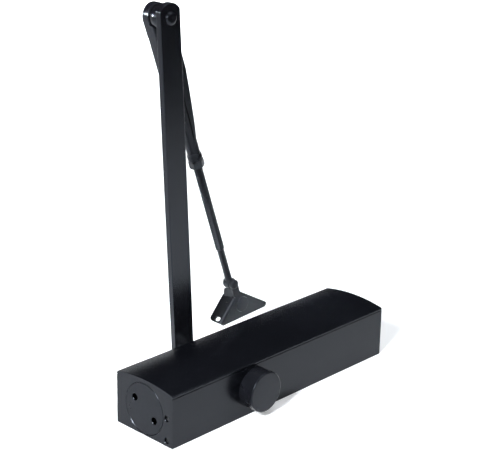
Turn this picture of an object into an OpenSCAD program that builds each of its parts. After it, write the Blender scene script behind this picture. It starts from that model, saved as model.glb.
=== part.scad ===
// Surface door closer: rack-and-pinion housing with an adjustable folding arm.
// Origin: centre of the fixing pattern on the mounting face. X runs along the
// housing, Y along the pinion, Z away from the mounting face. Millimetres.

/* [Housing] */
// Length of the housing
body_l = 237; // [225:1:260]
// Width of the housing along the pinion
body_w = 60; // [59:0.5:66]
// Height of the long side faces
side_h = 41.8; // [41.6:0.1:48]
// Rise of the arched front above the side faces
arch_rise = 3.3; // [2:0.1:6]
// Bevel along the two long front edges
edge_bevel = 0.7; // [0.3:0.1:1.2]
// Depth of the shadow groove under each bevel
groove_depth = 0.5; // [0.3:0.1:0.8]
// Height of the shadow groove
groove_h = 0.7; // [0.4:0.1:1.2]
// Distance from the bevel corner down to the groove
groove_drop = 2.2; // [1.8:0.1:4]

/* [Fixing holes] */
// Spacing of the fixing holes along the housing
fix_l = 166; // [160:1:172]
// Spacing of the fixing holes across the housing
fix_w = 45; // [44:0.5:47]
// Tapping diameter of the fixing holes
fix_d = 5.2; // [4:0.1:5.6]
// Depth of the fixing holes
fix_depth = 12; // [8:0.5:16]

/* [Cylinder] */
// Bore of the cylinder
bore_d = 34; // [33:0.2:35]
// Height of the bore axis above the mounting face
axis_h = 21.5; // [21.2:0.1:21.8]
// Diameter of the two end plugs
plug_d = 40; // [38:0.2:40.6]
// Thickness of the end plugs
plug_t = 14; // [12:0.5:16]
// Pitch between the two spanner holes of a plug
spanner_pitch = 24; // [20:0.5:28]
// Diameter of the spanner holes
spanner_d = 5.5; // [4:0.1:6]
// Depth of the spanner holes
spanner_depth = 5; // [3:0.5:6]
// Turn of the spanner holes from level
spanner_turn = 30; // [0:1:180]

/* [Valves] */
// Wall between the valve bores and the end plug's seat
valve_wall = 1.4; // [1:0.1:2]
// Height of the closing valve
closing_h = 22.4; // [20:0.1:26]
// Height of the latching valve
latching_h = 4.7; // [4.3:0.1:8]
// Diameter of a valve screw
valve_d = 4.6; // [4:0.1:5]
// Length of a valve screw
valve_l = 18; // [14:0.5:20]
// Depth of a valve screw's head below the end face
valve_sink = 1.6; // [0.5:0.1:2.5]

/* [Pinion and piston] */
// Distance of the pinion from the valve end of the housing
pinion_in = 84; // [82:0.5:88]
// Module of the teeth
gear_m = 1.75; // [1.6:0.05:1.8]
// Teeth on the pinion
gear_z = 10; // [10:1:10]
// Profile shift of the pinion
gear_shift = 0.5; // [0.45:0.01:0.5]
// Face width of the pinion teeth
gear_w = 24; // [16:0.5:24.5]
// Turn of the pinion from closed to fully open
open_angle = 180; // [120:5:180]
// Thickness of the piston head at the valve end
head_front = 14; // [12:0.5:16]
// Thickness of the piston head at the spring end
head_rear = 18; // [15:0.5:20]
// Diameter of the pinion's bearing journals
journal_d = 17; // [16.5:0.1:18]
// Outer diameter of the pinion bearings
bearing_d = 24; // [23.6:0.1:25]
// Depth of the gland collars in the long faces
gland_depth = 3.5; // [2.5:0.1:4]
// Square on both ends of the pinion
square_w = 11; // [9:0.1:11.5]

/* [Pinion cap] */
// Diameter of the cap
cap_d = 32; // [31:0.2:36]
// Height of the cap
cap_h = 13.5; // [12.5:0.1:18]
// Length of the square stub inside the cap
stub_l = 8; // [6:0.5:8]
// Wall of the cap
cap_wall = 1.5; // [1:0.1:1.5]
// Bevel round the cap's rim
cap_bevel = 1; // [0.4:0.1:1.2]

/* [Springs] */
// Outer diameter of the outer spring
spring_d = 31; // [30:0.2:32]
// Wire of the outer spring
wire_d = 4.4; // [3.6:0.1:4.6]
// Turns of the outer spring
spring_turns = 9.5; // [7:0.5:10]
// Outer diameter of the inner spring
inner_spring_d = 20; // [19:0.2:20.6]
// Wire of the inner spring
inner_wire_d = 2.8; // [2:0.1:3]
// Turns of the inner spring
inner_turns = 13; // [9:0.5:14]
// Travel of the spring seat on the power screw
seat_travel = 12.5; // [6:0.5:14]
// Diameter of the power adjusting screw
power_d = 8; // [7:0.1:8.4]

/* [Main arm] */
// Centre distance of the main arm
arm_l = 271.5; // [240:0.5:300]
// Width of the main arm
arm_w = 19.8; // [18:0.2:22]
// Thickness of the main arm
arm_t = 5.1; // [4:0.1:6]
// Diameter of the main arm's hub on the pinion
hub_d = 25; // [23:0.5:30]
// Lean of the main arm at rest towards the valve end
arm_lean = 3.5; // [0:0.1:8]
// Gap between the housing and the main arm
arm_gap = 15; // [14:0.1:20]
// Diameter of the elbow rivet's shank
rivet_d = 8; // [6:0.1:8]
// Diameter of the elbow rivet's heads
rivet_head_d = 10.4; // [10.4:0.1:12]
// Height of the elbow rivet's heads
rivet_head_h = 2; // [1.5:0.1:2.4]
// Diameter of the elbow spacer
spacer_d = 18.8; // [14:0.2:19.4]
// Length of the elbow spacer
spacer_l = 7.9; // [7.8:0.1:10]

/* [Forearm] */
// Angle of the forearm from upright at rest
forearm_angle = 19.5; // [10:0.5:40]
// Width of the forearm at the elbow
elbow_w = 19.8; // [18.6:0.2:22]
// Diameter of the round nose that closes on the rod
nose_w = 10.4; // [10:0.1:11.6]
// Diameter of the collar at the end of the nose
collar_d = 11.8; // [11.6:0.1:13]
// Thickness of the elbow lug
lug_t = 7; // [5:0.1:8]
// Depth of the folded section
fold_depth = 10.8; // [10.4:0.1:11.4]
// Sheet thickness of the folded section
sheet_t = 2; // [1.4:0.1:2.2]
// Distance from the elbow to the start of the fold
fold_start = 12.5; // [12:0.5:20]
// Clearance of the fold's saddle round the elbow spacer
saddle_gap = 1.2; // [0.8:0.1:2.4]
// Distance from the elbow to the start of the taper
taper_start = 48; // [40:1:60]
// Distance from the elbow to the end of the taper
fold_end = 106; // [90:1:110]
// Width of the folded section
fold_w = 19.6; // [17:0.2:20]
// Radius of the fold's two long corners
fold_r = 4; // [2.4:0.1:4.4]
// Length of the round nose
nose_l = 18; // [12:0.5:20]
// Length of the collar at the end of the nose
collar_l = 5; // [3:0.5:8]
// Width of the seam along the fold
seam_w = 1.4; // [1:0.1:3]
// Across flats of the lock nut
nut_af = 11; // [10.5:0.1:13]
// Thickness of the lock nut
nut_t = 6.2; // [5:0.1:9]

/* [Rod] */
// Distance from the elbow to the shoe pivot
reach = 245; // [240:0.5:270]
// Diameter of the threaded part of the rod
rod_d = 7.1; // [6:0.1:7.2]
// Diameter of the plain shank of the rod
shank_d = 5.8; // [5:0.1:6]
// Length of the plain shank and the eye
shank_l = 35; // [20:0.5:50]
// Length of rod inside the forearm
rod_inside = 40; // [30:1:44]
// Room for the rod to move further in
rod_room = 25; // [10:1:26]
// Diameter of the rod's eye
eye_d = 9.2; // [8.8:0.1:10]
// Thickness of the rod's eye
eye_t = 6.2; // [5:0.1:7]

/* [Shoe] */
// Sheet thickness of the shoe
shoe_t = 2.3; // [1.8:0.1:2.6]
// Length of the shoe's fixing flange
flange_l = 25; // [23:0.5:27]
// Width of the shoe's fixing flange
flange_w = 13.6; // [12.6:0.1:18]
// Distance from the shoe's pivot to the outside of the flange
flange_off = 8.8; // [8:0.1:12]
// Distance from the shoe's pivot along the flange to its near end
flange_start = 8.2; // [7.5:0.1:11]
// Reach of the shoe's web beyond the flange
web_l = 39.3; // [25:0.5:45]
// Radius of the web's tip
tip_r = 2.4; // [1:0.1:4]
// Offset of the web's tip from the pivot
web_skew = 3.3; // [0:0.1:6]
// Turn of the shoe from level at rest
shoe_angle = 48.5; // [30:0.5:60]
// Width of the slotted fixing hole
slot_w = 3.8; // [3:0.1:4.4]
// Length of the slotted fixing hole
slot_l = 6; // [5:0.1:6.6]
// Distance of the slot, and of the button, from the flange's ends
slot_inset = 3.2; // [3:0.1:5]
// Drop of the boss below the flange's outer side
boss_drop = 11.2; // [9:0.1:12]
// Distance of the slot and the button from the web's outer face
slot_side = 6; // [5.8:0.1:7.5]
// Diameter of the raised button on the flange
button_d = 6.4; // [5:0.1:6.4]
// Height of the raised button
button_h = 0.7; // [0.4:0.1:1]
// Height of the lip at the flange's near end, along its face
lip_h = 8.2; // [4:0.1:8.4]
// Width of the lip
lip_w = 9.8; // [7:0.1:10.5]
// Bend of the lip up from the flange
lip_bend = 41.5; // [30:0.5:45]
// Diameter of the raised boss on the web
boss_d = 13; // [8:0.2:14]
// Height of the raised boss
boss_h = 1.5; // [0.8:0.1:1.6]
// Diameter of the shoe's ear
ear_d = 8; // [7.6:0.1:12]
// Diameter of the pivot pin
pivot_d = 4.4; // [4:0.1:5]
// Diameter of the pivot pin's button head
pivot_head_d = 7.6; // [6.8:0.1:7.8]

/* [Hidden] */
$fn = 64;

// Paint and metal colours
black_paint = "#24262b";
black_gloss = "#1a1b1e";
bright_steel = "#a9adb2";
spring_steel = "#6f757c";
sintered = "#8c7347";
rubber_black = "#151515";

// Clearances
running = 0.05;
slip = 0.1;
side_gap = 0.3;
overcut = 1;

// Housing
end_x = body_l / 2;
face_y = body_w / 2;
crown_h = side_h + arch_rise;
arch_r = (face_y * face_y + arch_rise * arch_rise) / (2 * arch_rise);
bore_r = bore_d / 2;
plug_r = plug_d / 2;
valve_r = valve_d / 2;
valve_y = -(plug_r + valve_wall + valve_r);
port_r = 1;
port_x = valve_l + valve_sink - 1.5 - end_x;

// Teeth
pressure = 20;
backlash = 0.3;
pinion_x = pinion_in - end_x;
pitch_r = gear_m * gear_z / 2;
base_r = pitch_r * cos(pressure);
crest_r = pitch_r + gear_m * (0.786 + gear_shift);
root_r = pitch_r - gear_m * (1.25 - gear_shift);
tooth_pitch = PI * gear_m;
tooth_half = (PI / 2 + 2 * gear_shift * tan(pressure)) * gear_m / (2 * pitch_r) * 180 / PI;
rack_line = pitch_r + gear_shift * gear_m;
rack_tip = rack_line - gear_m;
rack_root = crest_r + 0.4;
stroke = pitch_r * open_angle * PI / 180;

// Pinion, its bearings and its glands
neck_r = min(root_r, rack_tip) - 0.4;
journal_r = journal_d / 2;
bearing_r = bearing_d / 2;
seal_t = 2.8;
seat_gap = 0.2;
gland_y = face_y - gland_depth;
seal_y = gland_y - seat_gap - seal_t;
bearing_l = seal_y - seat_gap - bore_r;
gland_r = bearing_r + 1.5;
gland_flange_r = gland_r + 0.9;
gland_flange_t = 2.4;
arm_y = face_y + arm_gap;
stub_y = face_y + gland_flange_t + stub_l;
thread_r = 3;
thread_depth = 14;

// Piston
piston_r = bore_r - running;
window_side = max(crest_r, bearing_r) + 0.4;
window_x0 = pinion_x - stroke - window_side;
window_x1 = pinion_x + window_side;
piston_x0 = window_x0 - head_front;
piston_x1 = window_x1 + head_rear;
ball_r = 3;
ball_hole_r = 2;
ball_room = 9;
ball_x = window_x0 - ball_room + sqrt(ball_r * ball_r - ball_hole_r * ball_hole_r) + 0.02;

// Springs and power adjustment
plug_in_x = end_x - plug_t;
pocket_depth = 4;
spring_x0 = piston_x1 - pocket_depth;
seat_t = 5;
seat_x = plug_in_x - seat_t - 2.6;
spring_len = seat_x - spring_x0;
power_r = power_d / 2;
power_head_r = power_r + 2.4;
power_head_t = 6;
clip_t = 1.2;
hub_l = 10;
power_end_x = seat_x - seat_travel - hub_l;

// Arm planes along Y
washer_t = 1;
washer_r = 9;
screw_head_t = 2.3;
screw_head_r = 6.2;
arm_key_d = 4.6;
lug_y = arm_y + arm_t + spacer_l;
back_y = lug_y + lug_t;
fold_y = back_y - fold_depth;
rod_y = back_y - fold_depth / 2 + 1.4;
rod_r = rod_d / 2;

// Pivots in the XZ plane
elbow_x = pinion_x - arm_l * sin(arm_lean);
elbow_z = axis_h + arm_l * cos(arm_lean);
foot_x = elbow_x + reach * sin(forearm_angle);
foot_z = elbow_z - reach * cos(forearm_angle);

// Shoe
web_y = rod_y - eye_t / 2 - side_gap - shoe_t;
head_y = rod_y + eye_t / 2 + side_gap + washer_t;
ear_r = ear_d / 2;

function involute(a) = tan(a) * 180 / PI - a;
function half_angle(r) = tooth_half + involute(pressure) - involute(acos(min(1, base_r / r)));
function polar(r, a) = [r * cos(a), r * sin(a)];

// Placing helpers
module along_x(x0, len, r) {
    translate([x0, 0, axis_h])
        rotate([0, 90, 0])
            cylinder(h = len, r = r);
}

module along_y(x, y0, len, r, z) {
    translate([x, y0, z])
        rotate([-90, 0, 0])
            cylinder(h = len, r = r);
}

module slab(y0, t) {
    translate([0, y0 + t, 0])
        rotate([90, 0, 0])
            linear_extrude(t)
                children();
}

module at_pinion() {
    translate([pinion_x, 0, axis_h])
        children();
}

module at_elbow() {
    translate([elbow_x, 0, elbow_z])
        rotate([0, -forearm_angle, 0])
            children();
}

module at_foot(turn) {
    translate([foot_x, 0, foot_z])
        rotate([0, turn, 0])
            children();
}

module o_ring(r_in, r_out) {
    rotate_extrude()
        translate([(r_in + r_out) / 2, 0])
            circle(d = r_out - r_in, $fn = 24);
}

module groove_ring(x, r_in, r_out, w) {
    translate([x, 0, axis_h])
        rotate([0, 90, 0])
            rotate_extrude()
                translate([r_in, 0])
                    square([r_out - r_in, w]);
}

// Housing
module body_section() {
    difference() {
        intersection() {
            translate([-face_y, 0])
                square([body_w, crown_h]);
            translate([0, crown_h - arch_r])
                circle(r = arch_r, $fn = 180);
        }
        for (s = [-1, 1]) {
            translate([s * face_y, side_h])
                rotate(45)
                    square(edge_bevel * sqrt(2), center = true);
            translate([s * face_y, side_h - groove_drop])
                square([2 * groove_depth, groove_h], center = true);
        }
    }
}

module valve_bore(h) {
    translate([-end_x - overcut, valve_y, h])
        rotate([0, 90, 0])
            cylinder(h = valve_l + valve_sink + overcut, r = valve_r + running);
}

module valve_port(h) {
    translate([port_x, valve_y, h])
        rotate([atan2(valve_y, axis_h - h), 0, 0])
            cylinder(h = norm([valve_y, axis_h - h]) - bore_r + 2, r = port_r, $fn = 24);
}

module gland_seat(side) {
    scale([1, side, 1])
        along_y(pinion_x, gland_y, face_y - gland_y + overcut, gland_r, axis_h);
}

module fixing_holes() {
    for (x = [-fix_l / 2, fix_l / 2], y = [-fix_w / 2, fix_w / 2])
        translate([x, y, -overcut])
            cylinder(h = fix_depth + overcut, d = fix_d, $fn = 32);
}

module closer_body() {
    color(black_paint)
        difference() {
            translate([-end_x, 0, 0])
                rotate([90, 0, 90])
                    linear_extrude(body_l)
                        body_section();
            along_x(-end_x - overcut, body_l + 2 * overcut, bore_r);
            along_x(-end_x - overcut, plug_t + overcut, plug_r);
            along_x(plug_in_x, plug_t + overcut, plug_r);
            along_y(pinion_x, -face_y - overcut, body_w + 2 * overcut, bearing_r, axis_h);
            mirror([0, 1, 0])
                along_y(pinion_x, gland_y, face_y - gland_y + overcut, gland_r, axis_h);
            along_y(pinion_x, gland_y, face_y - gland_y + overcut, gland_r, axis_h);
            valve_bore(closing_h);
            valve_bore(latching_h);
            valve_port(closing_h);
            valve_port(latching_h);
            fixing_holes();
        }
}

// End plugs, drawn with the outer face on the valve end
module plug_blank() {
    plug_rim = 0.6;
    ring_x = plug_t - 5.5;
    difference() {
        union() {
            along_x(-end_x + plug_rim, plug_t - plug_rim, plug_r - slip);
            translate([-end_x, 0, axis_h])
                rotate([0, 90, 0])
                    cylinder(h = plug_rim, r1 = plug_r - slip - plug_rim, r2 = plug_r - slip);
        }
        groove_ring(-end_x + ring_x, plug_r - 2.3, plug_r + overcut, 2.6);
        for (s = [-1, 1])
            translate([-end_x - overcut, 0, axis_h])
                rotate([spanner_turn, 0, 0])
                    translate([0, s * spanner_pitch / 2, 0])
                        rotate([0, 90, 0])
                            cylinder(h = spanner_depth + overcut, d = spanner_d, $fn = 32);
    }
}

module plug_ring() {
    translate([-end_x + plug_t - 4.2, 0, axis_h])
        rotate([0, 90, 0])
            o_ring(plug_r - 2.2, plug_r - 0.05);
}

module front_end_plug() {
    color(black_paint)
        plug_blank();
}

module front_plug_seal() {
    color(rubber_black)
        plug_ring();
}

module spring_end_plug() {
    color(black_paint)
        difference() {
            mirror([1, 0, 0])
                plug_blank();
            along_x(plug_in_x - overcut, plug_t + 2 * overcut, power_r + running);
            along_x(end_x - power_head_t - 1 - side_gap, power_head_t + 2 + side_gap, power_head_r + slip);
        }
}

module spring_plug_seal() {
    color(rubber_black)
        mirror([1, 0, 0])
            plug_ring();
}

// Regulating valves, drawn from the head inwards
module valve_screw(h) {
    tip_l = 4;
    ring_at = 7;
    translate([-end_x + valve_sink, valve_y, h])
        rotate([0, 90, 0])
            difference() {
                union() {
                    cylinder(h = valve_l - tip_l - 0.5, r = valve_r, $fn = 32);
                    translate([0, 0, valve_l - tip_l - 0.5])
                        cylinder(h = tip_l, r1 = valve_r - 0.6, r2 = 0.6, $fn = 32);
                }
                translate([0, 0, ring_at])
                    rotate_extrude($fn = 32)
                        translate([valve_r - 0.8, 0])
                            square([2, 1.4]);
                translate([0, 0, -overcut])
                    linear_extrude(1.2 + overcut)
                        square([0.9, valve_d + 1], center = true);
            }
}

module valve_ring(h) {
    translate([-end_x + valve_sink + 7.7, valve_y, h])
        rotate([0, 90, 0])
            rotate_extrude($fn = 32)
                translate([valve_r - 0.37, 0])
                    circle(d = 0.8, $fn = 24);
}

module closing_valve() {
    color(bright_steel)
        valve_screw(closing_h);
}

module closing_valve_seal() {
    color(rubber_black)
        valve_ring(closing_h);
}

module latching_valve() {
    color(bright_steel)
        valve_screw(latching_h);
}

module latching_valve_seal() {
    color(rubber_black)
        valve_ring(latching_h);
}

// Piston: two heads joined by rails, with the rack cut in the upper rail
module rack_space(x) {
    half = tooth_pitch / 4 + backlash / 2;
    rise = gear_m + 0.6;
    drop = rack_root - rack_line;
    polygon([
        [x - half - rise * tan(pressure), axis_h + rack_line - rise],
        [x + half + rise * tan(pressure), axis_h + rack_line - rise],
        [x + half - drop * tan(pressure), axis_h + rack_root],
        [x - half + drop * tan(pressure), axis_h + rack_root]
    ]);
}

module rack_piston() {
    last = floor(stroke / tooth_pitch + 0.01) + 1;
    color(bright_steel)
        difference() {
            along_x(piston_x0, piston_x1 - piston_x0, piston_r);
            translate([window_x0, -bore_r, axis_h - rack_root])
                cube([window_x1 - window_x0, bore_d, rack_tip + rack_root]);
            for (k = [-last : 1])
                slab(-bore_r, bore_d)
                    rack_space(pinion_x + k * tooth_pitch);
            along_x(piston_x1 - pocket_depth, pocket_depth + overcut, spring_d / 2 + 0.4);
            along_x(piston_x0 - overcut, head_front + 2 * overcut, ball_hole_r);
            along_x(window_x0 - ball_room, ball_room + overcut, ball_r + 0.4);
        }
}

module check_ball() {
    color(bright_steel)
        translate([ball_x, 0, axis_h])
            sphere(r = ball_r);
}

module ball_retainer() {
    color(bright_steel)
        difference() {
            along_x(window_x0 - 2, 1.6, ball_r + 0.4);
            along_x(window_x0 - 3, 4, ball_r - 1.4);
        }
}

// Helical springs as a twisted section
module coil(x0, len, d_out, wire, turns) {
    pitch = len / turns;
    mid_r = (d_out - wire) / 2;
    step = 30;
    translate([x0, 0, axis_h])
        rotate([0, 90, 0])
            linear_extrude(len, twist = -360 * turns, slices = ceil(turns * 14), $fn = 12)
                polygon([for (t = [0 : step : 359])
                    polar(mid_r + wire / 2 * cos(t), wire / 2 * sin(t) / pitch * 360)]);
}

module outer_spring() {
    color(spring_steel)
        coil(spring_x0, spring_len, spring_d, wire_d, spring_turns);
}

module inner_spring() {
    color(spring_steel)
        coil(spring_x0, spring_len, inner_spring_d, inner_wire_d, inner_turns);
}

module spring_seat() {
    color(bright_steel)
        difference() {
            union() {
                along_x(seat_x, seat_t, bore_r - 0.4);
                along_x(seat_x - hub_l, hub_l + 0.5, inner_spring_d / 2 - inner_wire_d - 0.3);
            }
            along_x(seat_x - hub_l - overcut, hub_l + seat_t + 2 * overcut, power_r + running);
        }
}

module power_screw() {
    color(bright_steel)
        difference() {
            union() {
                along_x(power_end_x, end_x - 1 - power_end_x - 0.5, power_r);
                along_x(end_x - power_head_t - 1, power_head_t, power_head_r);
            }
            translate([end_x - 5, 0, axis_h])
                rotate([0, 90, 0])
                    cylinder(h = 5, d = 6, $fn = 6);
            groove_ring(plug_in_x - side_gap - clip_t, power_r - 0.7, power_r + overcut, clip_t);
        }
}

module power_screw_clip() {
    color(spring_steel)
        translate([plug_in_x - side_gap - clip_t, 0, axis_h])
            rotate([0, 90, 0])
                difference() {
                    cylinder(h = clip_t, r = power_r + 1.6);
                    translate([0, 0, -overcut])
                        cylinder(h = clip_t + 2 * overcut, r = power_r - 0.65);
                }
}

// Pinion
module gear_tooth(a) {
    flank = [for (i = [0 : 6]) base_r + 0.02 + (crest_r - base_r - 0.02) * i / 6];
    polygon(concat(
        [polar(root_r - 0.5, a - half_angle(base_r + 0.02))],
        [for (r = flank) polar(r, a - half_angle(r))],
        [for (i = [6 : -1 : 0]) polar(flank[i], a + half_angle(flank[i]))],
        [polar(root_r - 0.5, a + half_angle(base_r + 0.02))]
    ));
}

module gear_section() {
    circle(r = root_r);
    for (k = [0 : gear_z - 1])
        gear_tooth(90 + k * 360 / gear_z);
}

module pinion() {
    color(bright_steel)
        at_pinion()
            difference() {
                union() {
                    slab(-gear_w / 2, gear_w)
                        gear_section();
                    along_y(0, -bore_r, 2 * bore_r, neck_r, 0);
                    along_y(0, bore_r, arm_y - bore_r, journal_r, 0);
                    along_y(0, -face_y - gland_flange_t, face_y + gland_flange_t - bore_r, journal_r, 0);
                    slab(arm_y - 0.5, arm_t + 0.5)
                        square(square_w, center = true);
                    slab(-stub_y, stub_y - face_y)
                        square(square_w, center = true);
                }
                along_y(0, arm_y + arm_t - thread_depth, thread_depth + overcut, thread_r + running, 0);
            }
}

// Bearings, seals and glands on each side of the housing
module pinion_ring(y0, len, r_out, r_in) {
    difference() {
        along_y(pinion_x, y0, len, r_out, axis_h);
        along_y(pinion_x, y0 - overcut, len + 2 * overcut, r_in, axis_h);
    }
}

module bearing_bush() {
    color(sintered)
        pinion_ring(bore_r, bearing_l, bearing_r, journal_r + running);
}

module lip_seal() {
    color(rubber_black)
        pinion_ring(seal_y, seal_t, bearing_r, journal_r + 0.02);
}

module gland() {
    slot = 3;
    color(spring_steel)
        difference() {
            union() {
                along_y(pinion_x, gland_y, face_y - gland_y + 0.5, gland_r - slip, axis_h);
                along_y(pinion_x, face_y, gland_flange_t, gland_flange_r, axis_h);
            }
            along_y(pinion_x, gland_y - overcut, face_y, journal_r + side_gap, axis_h);
            for (s = [-1, 1])
                translate([pinion_x + s * gland_flange_r, face_y + gland_flange_t, axis_h])
                    cube([slot, gland_flange_t * 2 - 1.2, slot], center = true);
        }
}

module arm_side_bearing() {
    bearing_bush();
}

module cap_side_bearing() {
    mirror([0, 1, 0])
        bearing_bush();
}

module arm_side_seal() {
    lip_seal();
}

module cap_side_seal() {
    mirror([0, 1, 0])
        lip_seal();
}

module arm_side_gland() {
    gland();
}

module cap_side_gland() {
    mirror([0, 1, 0])
        gland();
}

module pinion_cap() {
    color(black_gloss)
        translate([pinion_x, -face_y, axis_h])
            rotate([90, 0, 0])
                difference() {
                    union() {
                        cylinder(h = cap_h - cap_bevel, d = cap_d);
                        translate([0, 0, cap_h - cap_bevel])
                            cylinder(h = cap_bevel, d1 = cap_d, d2 = cap_d - 2 * cap_bevel);
                    }
                    translate([0, 0, -overcut])
                        cylinder(h = cap_h - cap_wall + overcut, r = gland_flange_r + running);
                }
}

// Main arm, drawn upright from the pinion and then leaned
module arm_outline() {
    hub_r = hub_d / 2;
    end_r = arm_w / 2 + 1.5;
    circle(r = hub_r);
    intersection() {
        translate([-arm_w / 2, 0])
            square([arm_w, arm_l + end_r]);
        union() {
            translate([-arm_w, 0])
                square([2 * arm_w, arm_l]);
            translate([0, arm_l])
                circle(r = end_r);
        }
    }
}

module main_arm() {
    color(black_paint)
        difference() {
            at_pinion()
                rotate([0, -arm_lean, 0])
                    slab(arm_y, arm_t)
                        difference() {
                            arm_outline();
                            translate([0, arm_l])
                                circle(r = rivet_d / 2 + running);
                        }
            at_pinion()
                slab(arm_y - overcut, arm_t + 2 * overcut)
                    square(square_w + 2 * running, center = true);
        }
}

module arm_washer() {
    color(bright_steel)
        pinion_ring(arm_y + arm_t, washer_t, washer_r, thread_r + 0.2);
}

module arm_screw() {
    head_y0 = arm_y + arm_t + washer_t;
    color(bright_steel)
        difference() {
            union() {
                along_y(pinion_x, head_y0, screw_head_t - 1, screw_head_r, axis_h);
                translate([pinion_x, head_y0 + screw_head_t - 1, axis_h])
                    rotate([-90, 0, 0])
                        cylinder(h = 1, r1 = screw_head_r, r2 = screw_head_r - 1.6);
                along_y(pinion_x, head_y0 - thread_depth, thread_depth + 0.5, thread_r, axis_h);
            }
            translate([pinion_x, head_y0 + 0.6, axis_h])
                rotate([-90, 0, 0])
                    cylinder(h = screw_head_t, d = arm_key_d, $fn = 6);
        }
}

// Elbow
module dome(r, h) {
    big = (r * r + h * h) / (2 * h);
    intersection() {
        cylinder(h = h + overcut, r = r);
        translate([0, 0, h - big])
            sphere(r = big, $fn = 96);
    }
}

module elbow_rivet() {
    head_r = rivet_head_d / 2;
    color(black_paint)
        translate([elbow_x, 0, elbow_z]) {
            along_y(0, arm_y, back_y + side_gap - arm_y, rivet_d / 2, 0);
            translate([0, arm_y, 0])
                rotate([90, 0, 0])
                    dome(head_r, rivet_head_h);
            translate([0, back_y + side_gap, 0])
                rotate([-90, 0, 0])
                    dome(head_r, rivet_head_h);
        }
}

module elbow_spacer() {
    color(black_paint)
        translate([elbow_x, 0, elbow_z])
            difference() {
                along_y(0, arm_y + arm_t + side_gap, spacer_l - side_gap, spacer_d / 2, 0);
                along_y(0, arm_y, spacer_l + 2 * arm_t, rivet_d / 2 + running, 0);
            }
}

// Forearm, drawn hanging from the elbow and then swung
module fold_section(inset) {
    w = fold_w / 2 - inset;
    r = fold_r - min(inset, fold_r - 0.6);
    near = fold_y + inset;
    far = back_y - inset;
    polygon(concat(
        [[w, far], [-w, far]],
        [for (a = [180 : 15 : 270]) [-w + r + r * cos(a), near + r + r * sin(a)]],
        [for (a = [270 : 15 : 360]) [w - r + r * cos(a), near + r + r * sin(a)]]
    ));
}

module fold_taper(inset, z_end, end_r) {
    hull() {
        translate([0, 0, -taper_start - 0.1])
            linear_extrude(0.1)
                fold_section(inset);
        translate([0, rod_y, z_end])
            cylinder(h = 0.1, r = end_r, $fn = 48);
    }
}

module forearm_sleeve() {
    lug_r = elbow_w / 2;
    nose_end = fold_end + nose_l;
    pocket_l = taper_start - fold_start - sheet_t;
    saddle_r = spacer_d / 2 + saddle_gap;
    wall_top = 3;
    color(black_paint)
        at_elbow()
            difference() {
                union() {
                    along_y(0, lug_y, lug_t, lug_r, 0);
                    translate([-lug_r, lug_y, -fold_start - 2])
                        cube([elbow_w, lug_t, fold_start + 2]);
                    translate([0, 0, -taper_start])
                        linear_extrude(taper_start - wall_top)
                            fold_section(0);
                    fold_taper(0, -fold_end, nose_w / 2);
                    translate([0, rod_y, -nose_end])
                        cylinder(h = nose_l + 1, r = nose_w / 2);
                    translate([0, rod_y, -nose_end])
                        cylinder(h = collar_l - 1, d = collar_d);
                    translate([0, rod_y, -nose_end + collar_l - 1])
                        cylinder(h = 1, d1 = collar_d, d2 = nose_w);
                }
                along_y(0, lug_y - overcut, lug_t + 2 * overcut, rivet_d / 2 + running, 0);
                along_y(0, fold_y - overcut, lug_y - fold_y + overcut, saddle_r, 0);
                translate([0, 0, -taper_start])
                    linear_extrude(pocket_l)
                        fold_section(sheet_t);
                fold_taper(sheet_t, -fold_end + sheet_t, rod_r + running - 0.2);
                translate([-seam_w / 2, fold_y - overcut, -fold_end + 8])
                    cube([seam_w, sheet_t + 2 * overcut, fold_end - 8 - fold_start - 2 * sheet_t]);
                translate([0, rod_y, -nose_end - overcut])
                    cylinder(h = rod_inside + rod_room + 2 * overcut, r = rod_r + running);
            }
}

module lock_nut() {
    nut_z = -fold_end - nose_l - side_gap - nut_t;
    color(black_paint)
        at_elbow()
            translate([0, rod_y, nut_z])
                difference() {
                    intersection() {
                        rotate([0, 0, 30])
                            cylinder(h = nut_t, d = nut_af / cos(30), $fn = 6);
                        cylinder(h = nut_t, d = nut_af / cos(30) - 0.5);
                    }
                    translate([0, 0, -overcut])
                        cylinder(h = nut_t + 2 * overcut, r = rod_r + running);
                }
}

// Rod with its eye on the shoe pivot
module adjusting_rod() {
    nose_end = fold_end + nose_l;
    taper_l = 2;
    color(black_paint)
        at_elbow()
            difference() {
                union() {
                    translate([0, rod_y, -reach + shank_l])
                        cylinder(h = reach - shank_l - nose_end + rod_inside, r = rod_r);
                    translate([0, rod_y, -reach + shank_l - taper_l])
                        cylinder(h = taper_l, d1 = shank_d, d2 = rod_d);
                    translate([0, rod_y, -reach + pivot_d / 2])
                        cylinder(h = shank_l - taper_l - pivot_d / 2, d = shank_d);
                    along_y(0, rod_y - eye_t / 2, eye_t, eye_d / 2, -reach);
                }
                along_y(0, rod_y - eye_t, 2 * eye_t, pivot_d / 2 + running, -reach);
            }
}

// Shoe, drawn with its flange level below the pivot and then turned
module web_outline() {
    low_r = 1;
    flange_end = flange_start + flange_l;
    hull() {
        translate([-flange_end + low_r, -flange_off - low_r])
            circle(r = low_r, $fn = 32);
        translate([web_skew, -flange_off - web_l + tip_r])
            circle(r = tip_r, $fn = 32);
        translate([-2.4, -flange_off - low_r])
            circle(r = low_r, $fn = 32);
    }
    circle(r = ear_r);
    polygon([
        [-ear_r, 0],
        [-ear_r * 0.7, ear_r * 0.7],
        [ear_r * 0.7, -ear_r * 0.7],
        [-1.2, -flange_off - 1.5],
        [-flange_start, -flange_off - 1.5],
        [-flange_start, -flange_off + 1]
    ]);
}

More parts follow.
